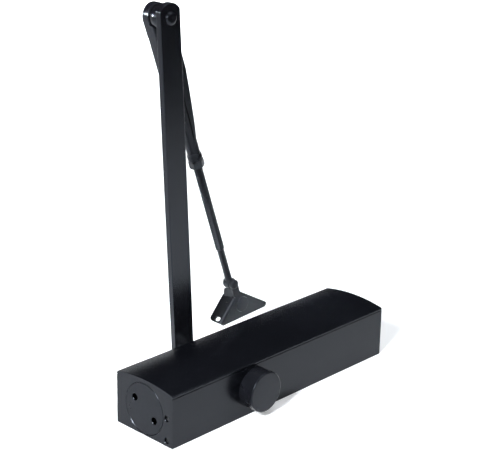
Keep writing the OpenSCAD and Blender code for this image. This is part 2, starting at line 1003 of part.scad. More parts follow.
module flange_outline() {
    far_corner = 3.4;
    near_corner = 1.2;
    flange_end = flange_start + flange_l;
    difference() {
        translate([-flange_end, web_y])
            square([flange_l, flange_w]);
        for (end = [[-flange_end, far_corner, 1], [-flange_start, near_corner, -1]]) {
            corner = end[1];
            difference() {
                translate([end[0] + end[2] * corner / 2, web_y + flange_w - corner / 2])
                    square([corner + 0.01, corner + 0.01], center = true);
                translate([end[0] + end[2] * corner, web_y + flange_w - corner])
                    circle(r = corner);
            }
        }
    }
}

module flange_slot(x) {
    reach_y = slot_l / 2 - slot_w / 2;
    for (s = [-1, 1])
        translate([x, web_y + slot_side + s * reach_y, -flange_off - shoe_t - overcut])
            cylinder(h = shoe_t + 2 * overcut, d = slot_w, $fn = 32);
    translate([x - slot_w / 2, web_y + slot_side - reach_y, -flange_off - shoe_t - overcut])
        cube([slot_w, 2 * reach_y, shoe_t + 2 * overcut]);
}

// Lip bent up beside the eye, rounded at its free corner
module flange_lip() {
    corner = 2.2;
    root = 0.9;
    translate([-flange_start - root, web_y + shoe_t - 0.01, -flange_off - shoe_t])
        rotate([0, -lip_bend, 0])
            linear_extrude(shoe_t) {
                square([lip_h - corner, lip_w]);
                square([lip_h, lip_w - corner]);
                translate([lip_h - corner, lip_w - corner])
                    circle(r = corner);
            }
}

module shoe_bracket() {
    flange_end = flange_start + flange_l;
    boss_x = -flange_start - 0.5;
    boss_z = -flange_off - boss_drop;
    color(black_paint)
        at_foot(-shoe_angle)
            difference() {
                union() {
                    slab(web_y, shoe_t)
                        web_outline();
                    translate([0, 0, -flange_off - shoe_t])
                        linear_extrude(shoe_t)
                            flange_outline();
                    along_y(boss_x, web_y - boss_h, boss_h + 0.5, boss_d / 2, boss_z);
                    translate([-flange_start - slot_inset, web_y + slot_side, -flange_off - 0.5])
                        cylinder(h = button_h + 0.5, d = button_d);
                    flange_lip();
                }
                along_y(0, web_y - overcut, shoe_t + 2 * overcut, pivot_d / 2 - 0.01, 0);
                flange_slot(-flange_end + slot_inset);
            }
}

// Button-headed pin, set over its washer at the far end
module shoe_pivot_pin() {
    rim_h = 0.6;
    crown_h = 0.9;
    set_h = 1;
    head_r = pivot_head_d / 2;
    color(black_paint)
        at_foot(0) {
            along_y(0, web_y - rim_h, head_y - web_y + rim_h + 0.01, pivot_d / 2, 0);
            along_y(0, web_y - rim_h, rim_h, head_r, 0);
            translate([0, web_y - rim_h, 0])
                rotate([90, 0, 0])
                    cylinder(h = crown_h, r1 = head_r, r2 = head_r * 0.55);
            translate([0, head_y, 0])
                rotate([-90, 0, 0])
                    cylinder(h = set_h, r1 = head_r * 0.85, r2 = head_r * 0.6);
        }
}

module shoe_pivot_washer() {
    color(bright_steel)
        at_foot(0)
            difference() {
                along_y(0, head_y - washer_t, washer_t, pivot_head_d / 2 + 0.1, 0);
                along_y(0, head_y - 2 * washer_t, 3 * washer_t, pivot_d / 2 + running, 0);
            }
}

closer_body();
front_end_plug();
front_plug_seal();
spring_end_plug();
spring_plug_seal();
closing_valve();
closing_valve_seal();
latching_valve();
latching_valve_seal();
rack_piston();
check_ball();
ball_retainer();
outer_spring();
inner_spring();
spring_seat();
power_screw();
power_screw_clip();
pinion();
arm_side_bearing();
cap_side_bearing();
arm_side_seal();
cap_side_seal();
arm_side_gland();
cap_side_gland();
pinion_cap();
main_arm();
arm_washer();
arm_screw();
elbow_rivet();
elbow_spacer();
forearm_sleeve();
lock_nut();
adjusting_rod();
shoe_bracket();
shoe_pivot_pin();
shoe_pivot_washer();
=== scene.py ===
import math
import bmesh
import bpy
from mathutils import Matrix, Vector


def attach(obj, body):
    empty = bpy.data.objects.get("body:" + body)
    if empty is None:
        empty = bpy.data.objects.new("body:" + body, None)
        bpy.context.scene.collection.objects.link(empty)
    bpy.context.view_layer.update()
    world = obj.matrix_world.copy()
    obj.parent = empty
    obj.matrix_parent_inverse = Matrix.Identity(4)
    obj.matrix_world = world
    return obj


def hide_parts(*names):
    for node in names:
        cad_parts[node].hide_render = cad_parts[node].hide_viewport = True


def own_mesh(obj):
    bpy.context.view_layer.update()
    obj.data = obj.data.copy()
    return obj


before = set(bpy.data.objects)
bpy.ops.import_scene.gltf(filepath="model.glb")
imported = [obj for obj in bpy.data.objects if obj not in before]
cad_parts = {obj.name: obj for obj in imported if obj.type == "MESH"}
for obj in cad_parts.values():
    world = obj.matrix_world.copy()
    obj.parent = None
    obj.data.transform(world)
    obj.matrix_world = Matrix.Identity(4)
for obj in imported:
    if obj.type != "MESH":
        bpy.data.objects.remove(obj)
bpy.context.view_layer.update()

mm = 0.001
places = {"endX": 118.5, "faceY": 30.0, "pinionX": -34.5, "axisHeight": 21.5}  # shared, in mm
linkage = {"armLean": 3.5, "armReach": 271.5, "forearmSwing": 19.5, "forearmReach": 245.0,
           "rodY": 61.0}


def swungFrom(start, reach, angle):  # where a link ends that leans by angle from the vertical
    turn = math.radians(angle)
    return (start[0] + reach * math.sin(turn), 0.0, start[2] + reach * math.cos(turn))


pinionAxis = (places["pinionX"], 0.0, places["axisHeight"])
elbow = swungFrom(pinionAxis, linkage["armReach"], -linkage["armLean"])
foot = swungFrom(elbow, -linkage["forearmReach"], -linkage["forearmSwing"])
print("frame loaded,", len(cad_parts), "nodes")


def turnMatrix(origin, angle):  # a piece drawn upright, swung about Y at its pivot
    return Matrix.Translation(Vector(origin) * mm) @ Matrix.Rotation(math.radians(angle), 4, "Y")


def scaleToMetres(bm):
    bmesh.ops.scale(bm, vec=(mm, mm, mm), verts=bm.verts)


def sharpEdges(bm, minAngle):
    limit = math.radians(minAngle)
    return [e for e in bm.edges if len(e.link_faces) == 2 and e.calc_face_angle(0) > limit]


def softenEdges(bm, width, segments, minAngle, pick=None):
    edges = [e for e in sharpEdges(bm, minAngle) if pick is None or pick(e)]
    bmesh.ops.bevel(bm, geom=edges, offset=width, offset_type="OFFSET", segments=segments,
                    profile=0.5, affect="EDGES", clamp_overlap=True, material=-1)


def shadeByAngle(mesh, angle):  # smooth faces, hard edges kept where it turns sharply
    bm = bmesh.new()
    bm.from_mesh(mesh)
    limit = math.radians(angle)
    for face in bm.faces:
        face.smooth = True
    for edge in bm.edges:
        edge.smooth = len(edge.link_faces) != 2 or edge.calc_face_angle(0) < limit
    bm.to_mesh(mesh)
    bm.free()


def outline(bm, points, plane, level):  # one flat face from a few corners
    where = {"xz": lambda a, b: (a, level, b), "yz": lambda a, b: (level, a, b),
             "xy": lambda a, b: (a, b, level)}[plane]
    return bm.faces.new([bm.verts.new(where(a, b)) for a, b in points])


def thicken(bm, face, vec):
    grown = bmesh.ops.extrude_face_region(bm, geom=[face])["geom"]
    verts = [v for v in grown if isinstance(v, bmesh.types.BMVert)]
    bmesh.ops.translate(bm, vec=vec, verts=verts)
    bmesh.ops.recalc_face_normals(bm, faces=bm.faces)


def arc(cx, cy, radius, start, end, steps):
    turn = [math.radians(start + (end - start) * i / steps) for i in range(steps + 1)]
    return [(cx + radius * math.cos(a), cy + radius * math.sin(a)) for a in turn]


def turned(bm, profile, axis, centre=(0, 0, 0), steps=64):  # profile is (radius, along the axis)
    side = {"x": (0, 0, 1), "y": (0, 0, 1), "z": (1, 0, 0)}[axis]
    along = {"x": (1, 0, 0), "y": (0, 1, 0), "z": (0, 0, 1)}[axis]
    side, along, centre = Vector(side), Vector(along), Vector(centre)
    verts = [bm.verts.new(centre + side * r + along * h) for r, h in profile]
    edges = [bm.edges.new(pair) for pair in zip(verts, verts[1:])]
    if profile[0][0] > 0:
        edges.append(bm.edges.new((verts[-1], verts[0])))  # a ring closes on itself
    bmesh.ops.spin(bm, geom=verts + edges, cent=centre, axis=along, angle=math.tau,
                   steps=steps, use_merge=True)
    bmesh.ops.remove_doubles(bm, verts=bm.verts, dist=1e-4)
    bmesh.ops.recalc_face_normals(bm, faces=bm.faces)


def boreProfile(radius, depth, chamfer, way, point=0.0):  # a drilled hole with a broken edge
    return [(0, -way), (radius + chamfer, -way), (radius + chamfer, 0), (radius, way * chamfer),
            (radius, way * (depth - point)), (0, way * depth)]


def makeMesh(name, bm, place=None):
    if place is not None:
        bmesh.ops.transform(bm, matrix=place, verts=bm.verts)
    mesh = bpy.data.meshes.new(name)
    bm.to_mesh(mesh)
    bm.free()
    return mesh


def rawObject(name, bm, place=None):
    piece = bpy.data.objects.new(name, makeMesh(name, bm, place))
    bpy.context.scene.collection.objects.link(piece)
    return piece


def turnedObject(name, profile, axis, centre=(0, 0, 0), steps=64, place=None):
    bm = bmesh.new()
    turned(bm, profile, axis, centre, steps)
    scaleToMetres(bm)
    return rawObject(name, bm, place)


def slabObject(name, points, plane, level, vec):
    bm = bmesh.new()
    thicken(bm, outline(bm, points, plane, level), vec)
    scaleToMetres(bm)
    return rawObject(name, bm)


def hexFace(bm, radius):
    bmesh.ops.create_circle(bm, cap_ends=True, radius=radius, segments=6)
    return bm.faces[:][0]


def combine(target, others, operation):  # exact boolean, applied at once
    for other in others:
        step = target.modifiers.new("cut", "BOOLEAN")
        step.operation = operation
        step.solver = "EXACT"
        step.object = other
    bpy.context.view_layer.update()
    graph = bpy.context.evaluated_depsgraph_get()
    result = bpy.data.meshes.new_from_object(target.evaluated_get(graph))
    target.modifiers.clear()
    old = target.data
    target.data = result
    bpy.data.meshes.remove(old)
    for other in others:
        spare = other.data
        bpy.data.objects.remove(other)
        bpy.data.meshes.remove(spare)


def finishPiece(piece, body, nodes, material, angle):
    bm = bmesh.new()
    bm.from_mesh(piece.data)
    bmesh.ops.remove_doubles(bm, verts=bm.verts, dist=1e-7)
    bm.to_mesh(piece.data)
    bm.free()
    shadeByAngle(piece.data, angle)
    piece.data.materials.clear()
    piece.data.materials.append(material)
    flats = piece.modifiers.new("evenFlats", "WEIGHTED_NORMAL")  # flats stay flat beside soft edges
    flats.weight = 100
    flats.keep_sharp = True
    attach(piece, body)
    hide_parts(*nodes)
    print("made", piece.name, len(piece.data.polygons), "faces")
    return piece


def newMaterial(name):
    mat = bpy.data.materials.new(name)
    mat.use_nodes = True
    tree = mat.node_tree
    shader = tree.nodes["Principled BSDF"]
    coords = tree.nodes.new("ShaderNodeTexCoord")
    return mat, tree, shader, coords.outputs["Object"]


def noiseNode(tree, coords, scale, detail, rough=0.55, stretch=None):
    noise = tree.nodes.new("ShaderNodeTexNoise")
    noise.inputs["Scale"].default_value = scale
    noise.inputs["Detail"].default_value = detail
    noise.inputs["Roughness"].default_value = rough
    if stretch is None:
        tree.links.new(coords, noise.inputs["Vector"])
    else:
        mapping = tree.nodes.new("ShaderNodeMapping")
        mapping.inputs["Scale"].default_value = stretch
        tree.links.new(coords, mapping.inputs["Vector"])
        tree.links.new(mapping.outputs["Vector"], noise.inputs["Vector"])
    return noise.outputs["Fac"]


def ramp(tree, fac, stops):
    node = tree.nodes.new("ShaderNodeValToRGB")
    elements = node.color_ramp.elements
    elements[0].position, elements[0].color = stops[0][0], (*stops[0][1], 1)
    elements[1].position, elements[1].color = stops[-1][0], (*stops[-1][1], 1)
    for place, colour in stops[1:-1]:
        middle = elements.new(place)
        middle.color = (*colour, 1)
    tree.links.new(fac, node.inputs["Fac"])
    return node.outputs["Color"]


def spread(tree, fac, low, high):
    node = tree.nodes.new("ShaderNodeMapRange")
    node.inputs["From Min"].default_value = 0.3
    node.inputs["From Max"].default_value = 0.7
    node.inputs["To Min"].default_value = low
    node.inputs["To Max"].default_value = high
    tree.links.new(fac, node.inputs["Value"])
    return node.outputs["Result"]


def bump(tree, shader, heights):  # heights is (output, strength, distance in metres)
    previous = None
    for height, strength, distance in heights:
        node = tree.nodes.new("ShaderNodeBump")
        node.inputs["Strength"].default_value = strength
        node.inputs["Distance"].default_value = distance
        tree.links.new(height, node.inputs["Height"])
        if previous is not None:
            tree.links.new(previous, node.inputs["Normal"])
        previous = node.outputs["Normal"]
    tree.links.new(previous, shader.inputs["Normal"])


paintGrain = {"peelScale": 520.0, "peelDepth": 0.0004, "speckScale": 2600.0, "speckDepth": 0.00008,
              "speckShare": 0.3, "patchShare": 0.45, "tint": (0.80, 0.87, 1.0, 1)}


def satinPaint(name, look, g):  # stoved enamel with a fine orange peel
    mat, tree, shader, coords = newMaterial(name)
    mottle = noiseNode(tree, coords, look["mottle"], 4.0)
    tree.links.new(ramp(tree, mottle, [(0.3, look["dark"]), (0.7, look["light"])]),
                   shader.inputs["Base Color"])
    patches = noiseNode(tree, coords, look["mottle"] * g["patchShare"], 5.0, 0.6)
    tree.links.new(spread(tree, patches, *look["rough"]), shader.inputs["Roughness"])
    peel = noiseNode(tree, coords, g["peelScale"], 2.0)
    specks = noiseNode(tree, coords, g["speckScale"], 1.0)
    bump(tree, shader, [(peel, look["peel"], g["peelDepth"]),
                        (specks, look["peel"] * g["speckShare"], g["speckDepth"])])
    shader.inputs["Specular IOR Level"].default_value = look["specular"]
    shader.inputs["Specular Tint"].default_value = g["tint"]
    return mat


metalGrain = {"scratchScale": 300.0, "stretch": (1, 1, 8), "relief": 0.15, "depth": 0.0001}


def metal(name, look, g):  # ground, turned or plated metal
    mat, tree, shader, coords = newMaterial(name)
    shader.inputs["Metallic"].default_value = 1.0
    tone = noiseNode(tree, coords, look["grain"], 4.0)
    tree.links.new(ramp(tree, tone, [(0.3, look["dark"]), (0.7, look["light"])]),
                   shader.inputs["Base Color"])
    scratches = noiseNode(tree, coords, g["scratchScale"], 3.0, 0.6, g["stretch"])
    tree.links.new(spread(tree, scratches, *look["rough"]), shader.inputs["Roughness"])
    bump(tree, shader, [(scratches, g["relief"], g["depth"])])
    return mat


rubberLook = {"dark": (0.008, 0.008, 0.009), "light": (0.025, 0.025, 0.026), "bloom": 260.0,
              "rough": (0.45, 0.7), "grain": 1800.0, "relief": 0.2, "depth": 0.0001}


def rubberSkin(name, look):
    mat, tree, shader, coords = newMaterial(name)
    bloom = noiseNode(tree, coords, look["bloom"], 4.0)
    tree.links.new(ramp(tree, bloom, [(0.3, look["dark"]), (0.75, look["light"])]),
                   shader.inputs["Base Color"])
    tree.links.new(spread(tree, bloom, *look["rough"]), shader.inputs["Roughness"])
    grain = noiseNode(tree, coords, look["grain"], 2.0)
    bump(tree, shader, [(grain, look["relief"], look["depth"])])
    return mat


paintLooks = {
    "housing": {"dark": (0.0022, 0.0024, 0.0034), "light": (0.0033, 0.0036, 0.0050), "mottle": 22.0,
                "rough": (0.22, 0.27), "peel": 0.045, "specular": 0.20},
    "plug": {"dark": (0.0036, 0.0040, 0.0054), "light": (0.0055, 0.0060, 0.0080), "mottle": 60.0,
             "rough": (0.26, 0.32), "peel": 0.12, "specular": 0.15},
    "arm": {"dark": (0.0030, 0.0032, 0.0042), "light": (0.0042, 0.0045, 0.0060), "mottle": 35.0,
            "rough": (0.22, 0.26), "peel": 0.05, "specular": 0.33},
    "elbow": {"dark": (0.0030, 0.0032, 0.0042), "light": (0.0045, 0.0048, 0.0062), "mottle": 60.0,
              "rough": (0.14, 0.18), "peel": 0.05, "specular": 0.42},
    "forearm": {"dark": (0.0050, 0.0053, 0.0070), "light": (0.0080, 0.0085, 0.0108), "mottle": 45.0,
                "rough": (0.21, 0.28), "peel": 0.08, "specular": 0.20},
    "rod": {"dark": (0.0075, 0.0080, 0.0092), "light": (0.0135, 0.0140, 0.0160), "mottle": 90.0,
            "rough": (0.34, 0.44), "peel": 0.12, "specular": 0.34},
    "shoe": {"dark": (0.0085, 0.0090, 0.0102), "light": (0.0130, 0.0135, 0.0152), "mottle": 70.0,
             "rough": (0.28, 0.36), "peel": 0.11, "specular": 0.26},
    "cap": {"dark": (0.0040, 0.0042, 0.0055), "light": (0.0060, 0.0063, 0.0082), "mottle": 40.0,
            "rough": (0.24, 0.32), "peel": 0.08, "specular": 0.18},
}
paints = {key: satinPaint(key + "Paint", look, paintGrain) for key, look in paintLooks.items()}

metalLooks = {
    "platedSteel": {"dark": (0.42, 0.43, 0.45), "light": (0.6, 0.61, 0.63),
                    "grain": 120.0, "rough": (0.22, 0.38)},
    "valveSteel": {"dark": (0.07, 0.07, 0.075), "light": (0.13, 0.13, 0.135),
                   "grain": 300.0, "rough": (0.3, 0.45)},
    "boredSteel": {"dark": (0.018, 0.018, 0.020), "light": (0.034, 0.034, 0.036),
                   "grain": 300.0, "rough": (0.2, 0.3)},
    "machinedIron": {"dark": (0.22, 0.22, 0.23), "light": (0.36, 0.36, 0.37),
                     "grain": 90.0, "rough": (0.3, 0.5)},
    "machinedSteel": {"dark": (0.48, 0.49, 0.51), "light": (0.62, 0.63, 0.65),
                      "grain": 80.0, "rough": (0.15, 0.3)},
    "springSteel": {"dark": (0.12, 0.125, 0.14), "light": (0.24, 0.245, 0.26),
                    "grain": 150.0, "rough": (0.3, 0.45)},
    "glandSteel": {"dark": (0.2, 0.205, 0.21), "light": (0.34, 0.345, 0.35),
                   "grain": 120.0, "rough": (0.28, 0.42)},
    "bearingBronze": {"dark": (0.38, 0.24, 0.10), "light": (0.52, 0.36, 0.17),
                      "grain": 200.0, "rough": (0.3, 0.5)},
}
metals = {key: metal(key, look, metalGrain) for key, look in metalLooks.items()}
sealRubber = rubberSkin("sealRubber", rubberLook)
print("materials ready")


housingSizes = {
    "length": 237.0, "width": 60.0, "sideHeight": 41.8, "archRise": 3.3,
    "edgeBevel": 0.7, "grooveDrop": 2.2, "grooveHeight": 0.7, "grooveDepth": 0.5,
    "grooveSlope": 0.1,
    "plugRadius": 20.0, "plugDepth": 14.0, "seatChamfer": 0.4,
    "valveRadius": 2.35, "valveDepth": 19.6, "valveY": -23.7, "valveHeights": (22.4, 4.7),
    "valveChamfer": 0.3, "fixX": 83.0, "fixY": 22.5, "fixRadius": 2.6, "fixDepth": 12.0,
    "fixChamfer": 0.5, "fixPoint": 1.0, "endSoften": 0.35, "footSoften": 0.3,
}


def housingBlock(s):  # the arched section, drawn out along X
    half, side = s["width"] / 2, s["sideHeight"]
    rise, bevel = s["archRise"], s["edgeBevel"]
    archRadius = (half * half + rise * rise) / (2 * rise)
    archCentre = side + rise - archRadius
    low = side - s["grooveDrop"] - s["grooveHeight"] / 2
    high = low + s["grooveHeight"]
    inside, slope = half - s["grooveDepth"], s["grooveSlope"]
    reach = math.degrees(math.asin((half - bevel) / archRadius))
    top = arc(0, archCentre, archRadius, 90 - reach, 90 + reach, 48)
    right = [(half, 0), (half, low), (inside, low + slope), (inside, high - slope), (half, high),
             (half, side - bevel)]
    left = [(-y, z) for y, z in reversed(right)]
    bm = bmesh.new()
    face = outline(bm, right + top + left, "yz", -s["length"] / 2)
    thicken(bm, face, (s["length"], 0, 0))
    ends = s["length"] / 2 - 0.01

    def isEndEdge(e):
        return (all(abs(v.co.x) > ends for v in e.verts)
                and not any(low - 0.2 < v.co.z < high + 0.2 for v in e.verts))

    def isFootEdge(e):
        return (all(v.co.z < 0.01 for v in e.verts)
                and abs(e.verts[0].co.x - e.verts[1].co.x) > 100)

    softenEdges(bm, s["endSoften"], 2, 60, isEndEdge)
    softenEdges(bm, s["footSoften"], 2, 60, isFootEdge)
    scaleToMetres(bm)
    return rawObject("housing", bm)


def plugSeat(s, way):  # the wide mouth that an end plug sits in
    r, d, c = s["plugRadius"], s["plugDepth"], s["seatChamfer"]
    bm = bmesh.new()
    turned(bm, [(0, 2), (r + 2 + c, 2), (r, -c), (r, -d), (0, -d)], "x", (0, 0, 0), 96)
    if way < 0:
        bmesh.ops.scale(bm, vec=(-1, 1, 1), verts=bm.verts)
        bmesh.ops.reverse_faces(bm, faces=bm.faces)
    bmesh.ops.translate(bm, vec=(way * s["length"] / 2, 0, places["axisHeight"]), verts=bm.verts)
    scaleToMetres(bm)
    return rawObject("plugSeat", bm)


def buildHousing(s):
    piece = housingBlock(s)
    cutters = [plugSeat(s, way) for way in (-1, 1)]
    valve = boreProfile(s["valveRadius"], s["valveDepth"], s["valveChamfer"], 1)
    for height in s["valveHeights"]:
        mouth = (-s["length"] / 2, s["valveY"], height)
        cutters.append(turnedObject("valveBore", valve, "x", mouth, 32))
    fixing = boreProfile(s["fixRadius"], s["fixDepth"], s["fixChamfer"], 1, s["fixPoint"])
    for x in (-s["fixX"], s["fixX"]):
        for y in (-s["fixY"], s["fixY"]):
            cutters.append(turnedObject("fixingHole", fixing, "z", (x, y, 0), 24))
    combine(piece, cutters, "DIFFERENCE")
    finishPiece(piece, "housing", ["closer_body"], paints["housing"], 25)


buildHousing(housingSizes)


plugSizes = {"radius": 19.9, "depth": 14.0, "rim": 0.45, "rimTurns": (0.0, 0.52, 1.05, math.pi / 2),
             "holePitch": 24.0, "holeRadius": 2.75, "holeDepth": 5.0, "holeChamfer": 0.35,
             "holePoint": 0.8, "turn": 30.0, "powerBore": 6.5, "powerDepth": 7.3,
             "powerChamfer": 0.4, "bareFrom": 0.9, "bareRing": (8.0, 17.0)}


def bareHoles(piece, s):  # the bottoms of the spanner holes are bare metal
    piece.data.materials.append(metals["boredSteel"])
    first = (places["endX"] - s["bareFrom"]) * mm
    last = (places["endX"] - s["holeDepth"] - 0.1) * mm
    near, far = (r * mm for r in s["bareRing"])
    for face in piece.data.polygons:
        centre = face.center
        side = math.hypot(centre.y, centre.z - places["axisHeight"] * mm)
        if last < abs(centre.x) < first and near < side < far:
            face.material_index = 1


def buildPlug(s, way, name, node):
    r, d, rim = s["radius"], s["depth"], s["rim"]
    edge = [(r - rim + rim * math.sin(a), -rim + rim * math.cos(a)) for a in s["rimTurns"]]
    piece = turnedObject(name, [(0, 0)] + edge + [(r, -d), (0, -d)], "x", steps=96)
    hole = boreProfile(s["holeRadius"], s["holeDepth"], s["holeChamfer"], -1, s["holePoint"])
    a = math.radians(s["turn"])
    cutters = []
    for half in (-s["holePitch"] / 2, s["holePitch"] / 2):
        centre = (0, half * math.cos(a), half * math.sin(a))
        cutters.append(turnedObject("spannerHole", hole, "x", centre, 32))
    if way > 0:
        bore = boreProfile(s["powerBore"], s["powerDepth"], s["powerChamfer"], -1)
        cutters.append(turnedObject("powerBore", bore, "x", steps=48))
    combine(piece, cutters, "DIFFERENCE")
    place = Matrix.Translation((way * places["endX"] * mm, 0, places["axisHeight"] * mm))
    piece.data.transform(place @ Matrix.Scale(way, 4, (1, 0, 0)))
    if way < 0:
        piece.data.flip_normals()
    finishPiece(piece, "housing", [node], paints["plug"], 28)
    bareHoles(piece, s)


buildPlug(plugSizes, -1, "valveEndPlug", "front_end_plug")
buildPlug(plugSizes, 1, "springEndPlug", "spring_end_plug")

capSizes = {"radius": 16.0, "height": 13.5, "rim": 1.1, "wall": 1.5, "crown": 0.15}


def buildCap(s):
    r, h, rim, inner = s["radius"], s["height"], s["rim"], s["radius"] - s["wall"]
    curve = [(r - rim + rim * math.sin(math.radians(a)),
              h - s["crown"] - rim + rim * math.cos(math.radians(a))) for a in range(0, 91, 15)]
    profile = [(0, h), (r * 0.5, h - s["crown"] * 0.3)] + curve
    profile += [(r, 0), (inner, 0), (inner, h - s["wall"]), (0, h - s["wall"])]
    place = Matrix.Translation((places["pinionX"] * mm, -places["faceY"] * mm,
                                places["axisHeight"] * mm)) @ Matrix.Rotation(math.pi, 4, "Z")
    piece = turnedObject("pinionCap", profile, "y", steps=96, place=place)
    finishPiece(piece, "housing", ["pinion_cap"], paints["cap"], 40)


buildCap(capSizes)


armSizes = {"faceY": 45.0, "halfWidth": 9.85, "hub": 12.5, "endRadius": 11.4, "thickness": 5.1,
            "soften": 0.6}


def buildArm(s):
    w, hub, end = s["halfWidth"], s["hub"], s["endRadius"]
    hubTurn = math.degrees(math.acos(w / hub))
    endTurn = math.degrees(math.acos(w / end))
    points = arc(0, 0, hub, 180 - hubTurn, 360 + hubTurn, 40)
    points += arc(0, linkage["armReach"], end, endTurn, 180 - endTurn, 24)
    bm = bmesh.new()
    thicken(bm, outline(bm, points, "xz", 0), (0, s["thickness"], 0))
    softenEdges(bm, s["soften"], 4, 60)
    scaleToMetres(bm)
    pivot = (places["pinionX"], s["faceY"], places["axisHeight"])
    piece = rawObject("mainArm", bm, turnMatrix(pivot, -linkage["armLean"]))
    finishPiece(piece, "arm_and_pinion", ["main_arm"], paints["arm"], 40)


buildArm(armSizes)

rivetSizes = {"front": 45.0, "back": 65.3, "headRadius": 5.2, "headHeight": 1.9, "shank": 4.0,
              "dimple": 1.2}


def rivetHead(s, start, way):  # low pressed head with a small centre mark
    r, h = s["headRadius"], s["headHeight"]
    shape = [(0, h - 0.35), (s["dimple"], h - 0.05), (r * 0.55, h), (r * 0.82, h * 0.86),
             (r * 0.95, h * 0.6), (r, h * 0.3), (r, 0)]
    return [(radius, start + way * height) for radius, height in shape]


def buildRivet(s):
    front = rivetHead(s, s["front"], -1)
    back = rivetHead(s, s["back"], 1)
    profile = front + [(s["shank"], s["front"]), (s["shank"], s["back"])] + list(reversed(back))
    piece = turnedObject("elbowRivet", profile, "y", elbow, 48)
    finishPiece(piece, "arm_and_pinion", ["elbow_rivet"], paints["arm"], 40)


buildRivet(rivetSizes)

spacerSizes = {"radius": 9.5, "start": 50.3, "end": 58.0, "bore": 4.05, "soften": 0.5, "crown": 0.5,
               "barrelSteps": 8}


def buildSpacer(s):
    r, c, a, b = s["radius"] - s["crown"], s["soften"], s["start"], s["end"]
    n, soft = s["barrelSteps"], s["soften"] * 0.3
    profile = [(s["bore"], a), (r - c, a), (r - soft, a + soft)]
    profile += [(r + s["crown"] * math.sin(math.pi * k / n), a + c + (b - a - 2 * c) * k / n)
                for k in range(n + 1)]
    profile += [(r - soft, b - soft), (r - c, b), (s["bore"], b)]
    piece = turnedObject("elbowSpacer", profile, "y", elbow, 64)
    finishPiece(piece, "forearm", ["elbow_spacer"], paints["elbow"], 40)


buildSpacer(spacerSizes)


forearmSizes = {
    "lugRadius": 9.9, "lugLow": -14.0, "lugNear": 58.0, "back": 65.0, "lugSoften": 0.6,
    "foldWidth": 19.9, "foldDepth": 10.8, "foldStart": 3.0, "foldSoften": 0.4,
    "saddle": 10.5, "saddleDepth": 8.0, "taperStart": 48.0, "taperEnd": 106.0, "taperSteps": 10,
    "noseRadius": 5.2, "noseEnd": 124.0, "noseInset": 0.35, "collarRadius": 5.9,
    "collarLength": 5.0, "seamWidth": 0.9, "seamDepth": 1.1, "boreRadius": 3.6,
    "squareness": 9.0, "roundness": 2.0,
}


def foldRing(s, distance):  # centre, half sizes and squareness at a distance from the elbow
    t = min(1.0, max(0.0, (distance - s["taperStart"]) / (s["taperEnd"] - s["taperStart"])))
    flatCentre = s["back"] - s["foldDepth"] / 2
    half = s["foldWidth"] / 2 * (1 - t) + s["noseRadius"] * t
    deep = s["foldDepth"] / 2 * (1 - t) + s["noseRadius"] * t
    if distance > s["noseEnd"] - s["collarLength"] + 0.6:
        half = deep = s["collarRadius"]
    centre = (0, flatCentre * (1 - t) + linkage["rodY"] * t, -distance)
    return centre, half, deep, s["squareness"] * (1 - t) + s["roundness"] * t


def moveRing(verts, s, distance, inset=0.0):
    centre, half, deep, power = foldRing(s, distance)
    half, deep = half - inset, deep - inset
    for i, v in enumerate(verts):
        a = math.tau * i / len(verts)
        c, n = math.cos(a), math.sin(a)
        v.co = (centre[0] + half * math.copysign(abs(c) ** (2 / power), c),
                centre[1] + deep * math.copysign(abs(n) ** (2 / power), n), centre[2])


def growRing(bm, ring):  # extrudes a ring of edges, its new vertices in the same order
    wanted = set(ring)
    edges = [e for e in bm.edges
             if e.verts[0] in wanted and e.verts[1] in wanted and len(e.link_faces) < 2]
    made = bmesh.ops.extrude_edge_only(bm, edges=edges)["geom"]
    partner = {}
    for v in (part for part in made if isinstance(part, bmesh.types.BMVert)):
        for e in v.link_edges:
            if e.other_vert(v) in wanted:
                partner[e.other_vert(v)] = v
    return [partner[v] for v in ring]


def foldBody(s):  # the folded sheet, from a squared ring at the elbow to the round collar
    nose, bore = s["noseEnd"], s["boreRadius"]
    collar = nose - s["collarLength"]
    taper, steps = s["taperEnd"] - s["taperStart"], s["taperSteps"]
    stations = [12, 30, s["taperStart"]]
    stations += [s["taperStart"] + taper * k / steps for k in range(1, steps + 1)]
    stations += [collar - 0.2, collar + 0.8, nose - 0.5, nose]
    bm = bmesh.new()
    ring = bmesh.ops.create_circle(bm, cap_ends=False, radius=1.0, segments=64)["verts"]
    ring.sort(key=lambda v: math.atan2(v.co.y, v.co.x) % math.tau)
    moveRing(ring, s, s["foldStart"])
    for station in stations:
        ring = growRing(bm, ring)
        moveRing(ring, s, station, s["noseInset"] if station == nose else 0.0)
    closing = growRing(bm, ring)
    for i, v in enumerate(closing):
        a = math.tau * i / len(closing)
        v.co = (bore * math.cos(a), linkage["rodY"] + bore * math.sin(a), -nose)
    mouth = [e for e in bm.edges if e.is_boundary and all(v in closing for v in e.verts)]
    bmesh.ops.holes_fill(bm, edges=mouth, sides=0)
    bmesh.ops.holes_fill(bm, edges=[e for e in bm.edges if e.is_boundary], sides=0)
    bmesh.ops.recalc_face_normals(bm, faces=bm.faces)
    softenEdges(bm, s["foldSoften"], 2, 60,
                lambda e: all(abs(v.co.z + s["foldStart"]) < 0.01 for v in e.verts))
    scaleToMetres(bm)
    return rawObject("forearmSleeve", bm)


def elbowLug(s):
    r, low = s["lugRadius"], s["lugLow"]
    points = arc(0, 0, r, 0, 180, 40) + [(-r + 0.2, low), (r - 0.2, low)]
    bm = bmesh.new()
    face = outline(bm, points, "xz", s["lugNear"])
    thicken(bm, face, (0, s["back"] - s["lugNear"], 0))
    softenEdges(bm, s["lugSoften"], 3, 40, lambda e: max(v.co.z for v in e.verts) > low + 0.1)
    scaleToMetres(bm)
    return rawObject("lug", bm)


